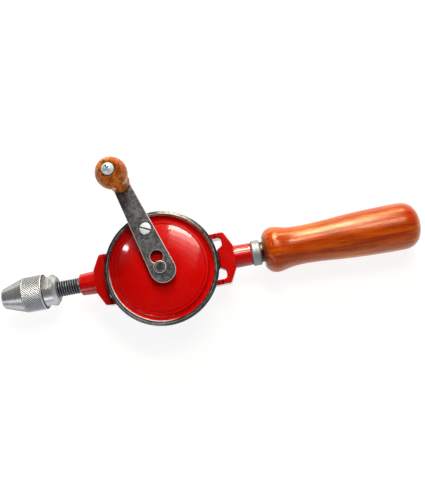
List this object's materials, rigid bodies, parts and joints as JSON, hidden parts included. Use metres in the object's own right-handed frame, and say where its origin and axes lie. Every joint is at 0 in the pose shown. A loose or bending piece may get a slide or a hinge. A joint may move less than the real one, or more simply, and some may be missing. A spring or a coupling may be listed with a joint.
{
  "type": "hand drill",
  "caption": "Crank-driven hand drill: a bevel gear wheel in a cast frame turns a spindle with a self-centring jaw chuck; turned wooden handle and knob.",
  "frame": {"origin": "middle of the drill's bounding box at the height of its flat back, which it lies on", "axes": "+X along the spindle from the chuck to the handle, +Y across the drill to the side the crank points to at rest, +Z along the wheel's axle towards the crank"},
  "size_m": [0.3085, 0.1162, 0.0871],
  "materials": {
    "frame_paint": "gloss",
    "wheel_paint": "gloss",
    "bronze": "satin",
    "hard_steel": "satin",
    "dark_steel": "satin",
    "thread_steel": "satin",
    "plate": "polished",
    "screw_plate": "polished",
    "chuck_steel": "satin",
    "handle_wood": "gloss",
    "knob_wood": "gloss"
  },
  "bodies": {
    "frame": {"main_frame": "frame_paint", "spindle_bush": "bronze", "thrust_ball": "hard_steel", "drive_washer": "bronze", "idler_washer": "bronze", "idler_axle": "hard_steel", "wheel_axle": "dark_steel", "wheel_washer": "bronze", "handle_tang": "hard_steel", "ferrule": "plate", "handle": "handle_wood"},
    "wheel": {"gear_wheel": "wheel_paint", "wheel_bush": "bronze", "crank_arm": "dark_steel", "crank_screw": "screw_plate", "knob_pin": "screw_plate", "knob_washer": "screw_plate"},
    "knob": {"crank_knob": "knob_wood"},
    "spindle": {"spindle": "thread_steel", "drive_pinion": "hard_steel", "pinion_pin": "hard_steel", "chuck_body": "chuck_steel"},
    "idler": {"idler_pinion": "hard_steel"},
    "sleeve": {"chuck_sleeve": "chuck_steel", "chuck_nut": "hard_steel"},
    "jaw_1": {"jaw_1": "chuck_steel"},
    "jaw_2": {"jaw_2": "chuck_steel"},
    "jaw_3": {"jaw_3": "chuck_steel"}
  },
  "joints": [
    {"name": "wheel_spin", "type": "hinge", "parent": "frame", "child": "wheel", "pos_m": [-0.03405, -0.0171, 0.0171], "axis": [0, 0, 1], "continuous": true},
    {"name": "knob_spin", "type": "hinge", "parent": "wheel", "child": "knob", "pos_m": [-0.05252, 0.0473, 0.0621], "axis": [0, 0, 1], "continuous": true},
    {"name": "spindle_spin", "type": "hinge", "parent": "frame", "child": "spindle", "pos_m": [-0.08405, -0.0171, 0.0171], "axis": [1, 0, 0], "continuous": true},
    {"name": "idler_spin", "type": "hinge", "parent": "frame", "child": "idler", "pos_m": [-0.00005, -0.0171, 0.0171], "axis": [1, 0, 0], "continuous": true},
    {"name": "sleeve_turn", "type": "hinge", "parent": "spindle", "child": "sleeve", "pos_m": [-0.13025, -0.0171, 0.0171], "axis": [1, 0, 0], "range_deg": [0, 2731.9]},
    {"name": "jaw_1_slide", "type": "slide", "parent": "spindle", "child": "jaw_1", "axis": [-0.9613, -0.2387, -0.1378], "range_m": [0, 0.0108]},
    {"name": "jaw_2_slide", "type": "slide", "parent": "spindle", "child": "jaw_2", "axis": [-0.9613, 0.2387, -0.1378], "range_m": [0, 0.0108]},
    {"name": "jaw_3_slide", "type": "slide", "parent": "spindle", "child": "jaw_3", "axis": [-0.9613, 0, 0.2756], "range_m": [0, 0.0108]}
  ],
  "couplings": [
    {"joint": "spindle_spin", "follows": "wheel_spin", "ratio": 3.5714},
    {"joint": "idler_spin", "follows": "wheel_spin", "ratio": -3.5714},
    {"joint": "jaw_1_slide", "follows": "sleeve_turn", "m_per_rad": 0.00022441},
    {"joint": "jaw_2_slide", "follows": "sleeve_turn", "m_per_rad": 0.00022441},
    {"joint": "jaw_3_slide", "follows": "sleeve_turn", "m_per_rad": 0.00022441}
  ]
}
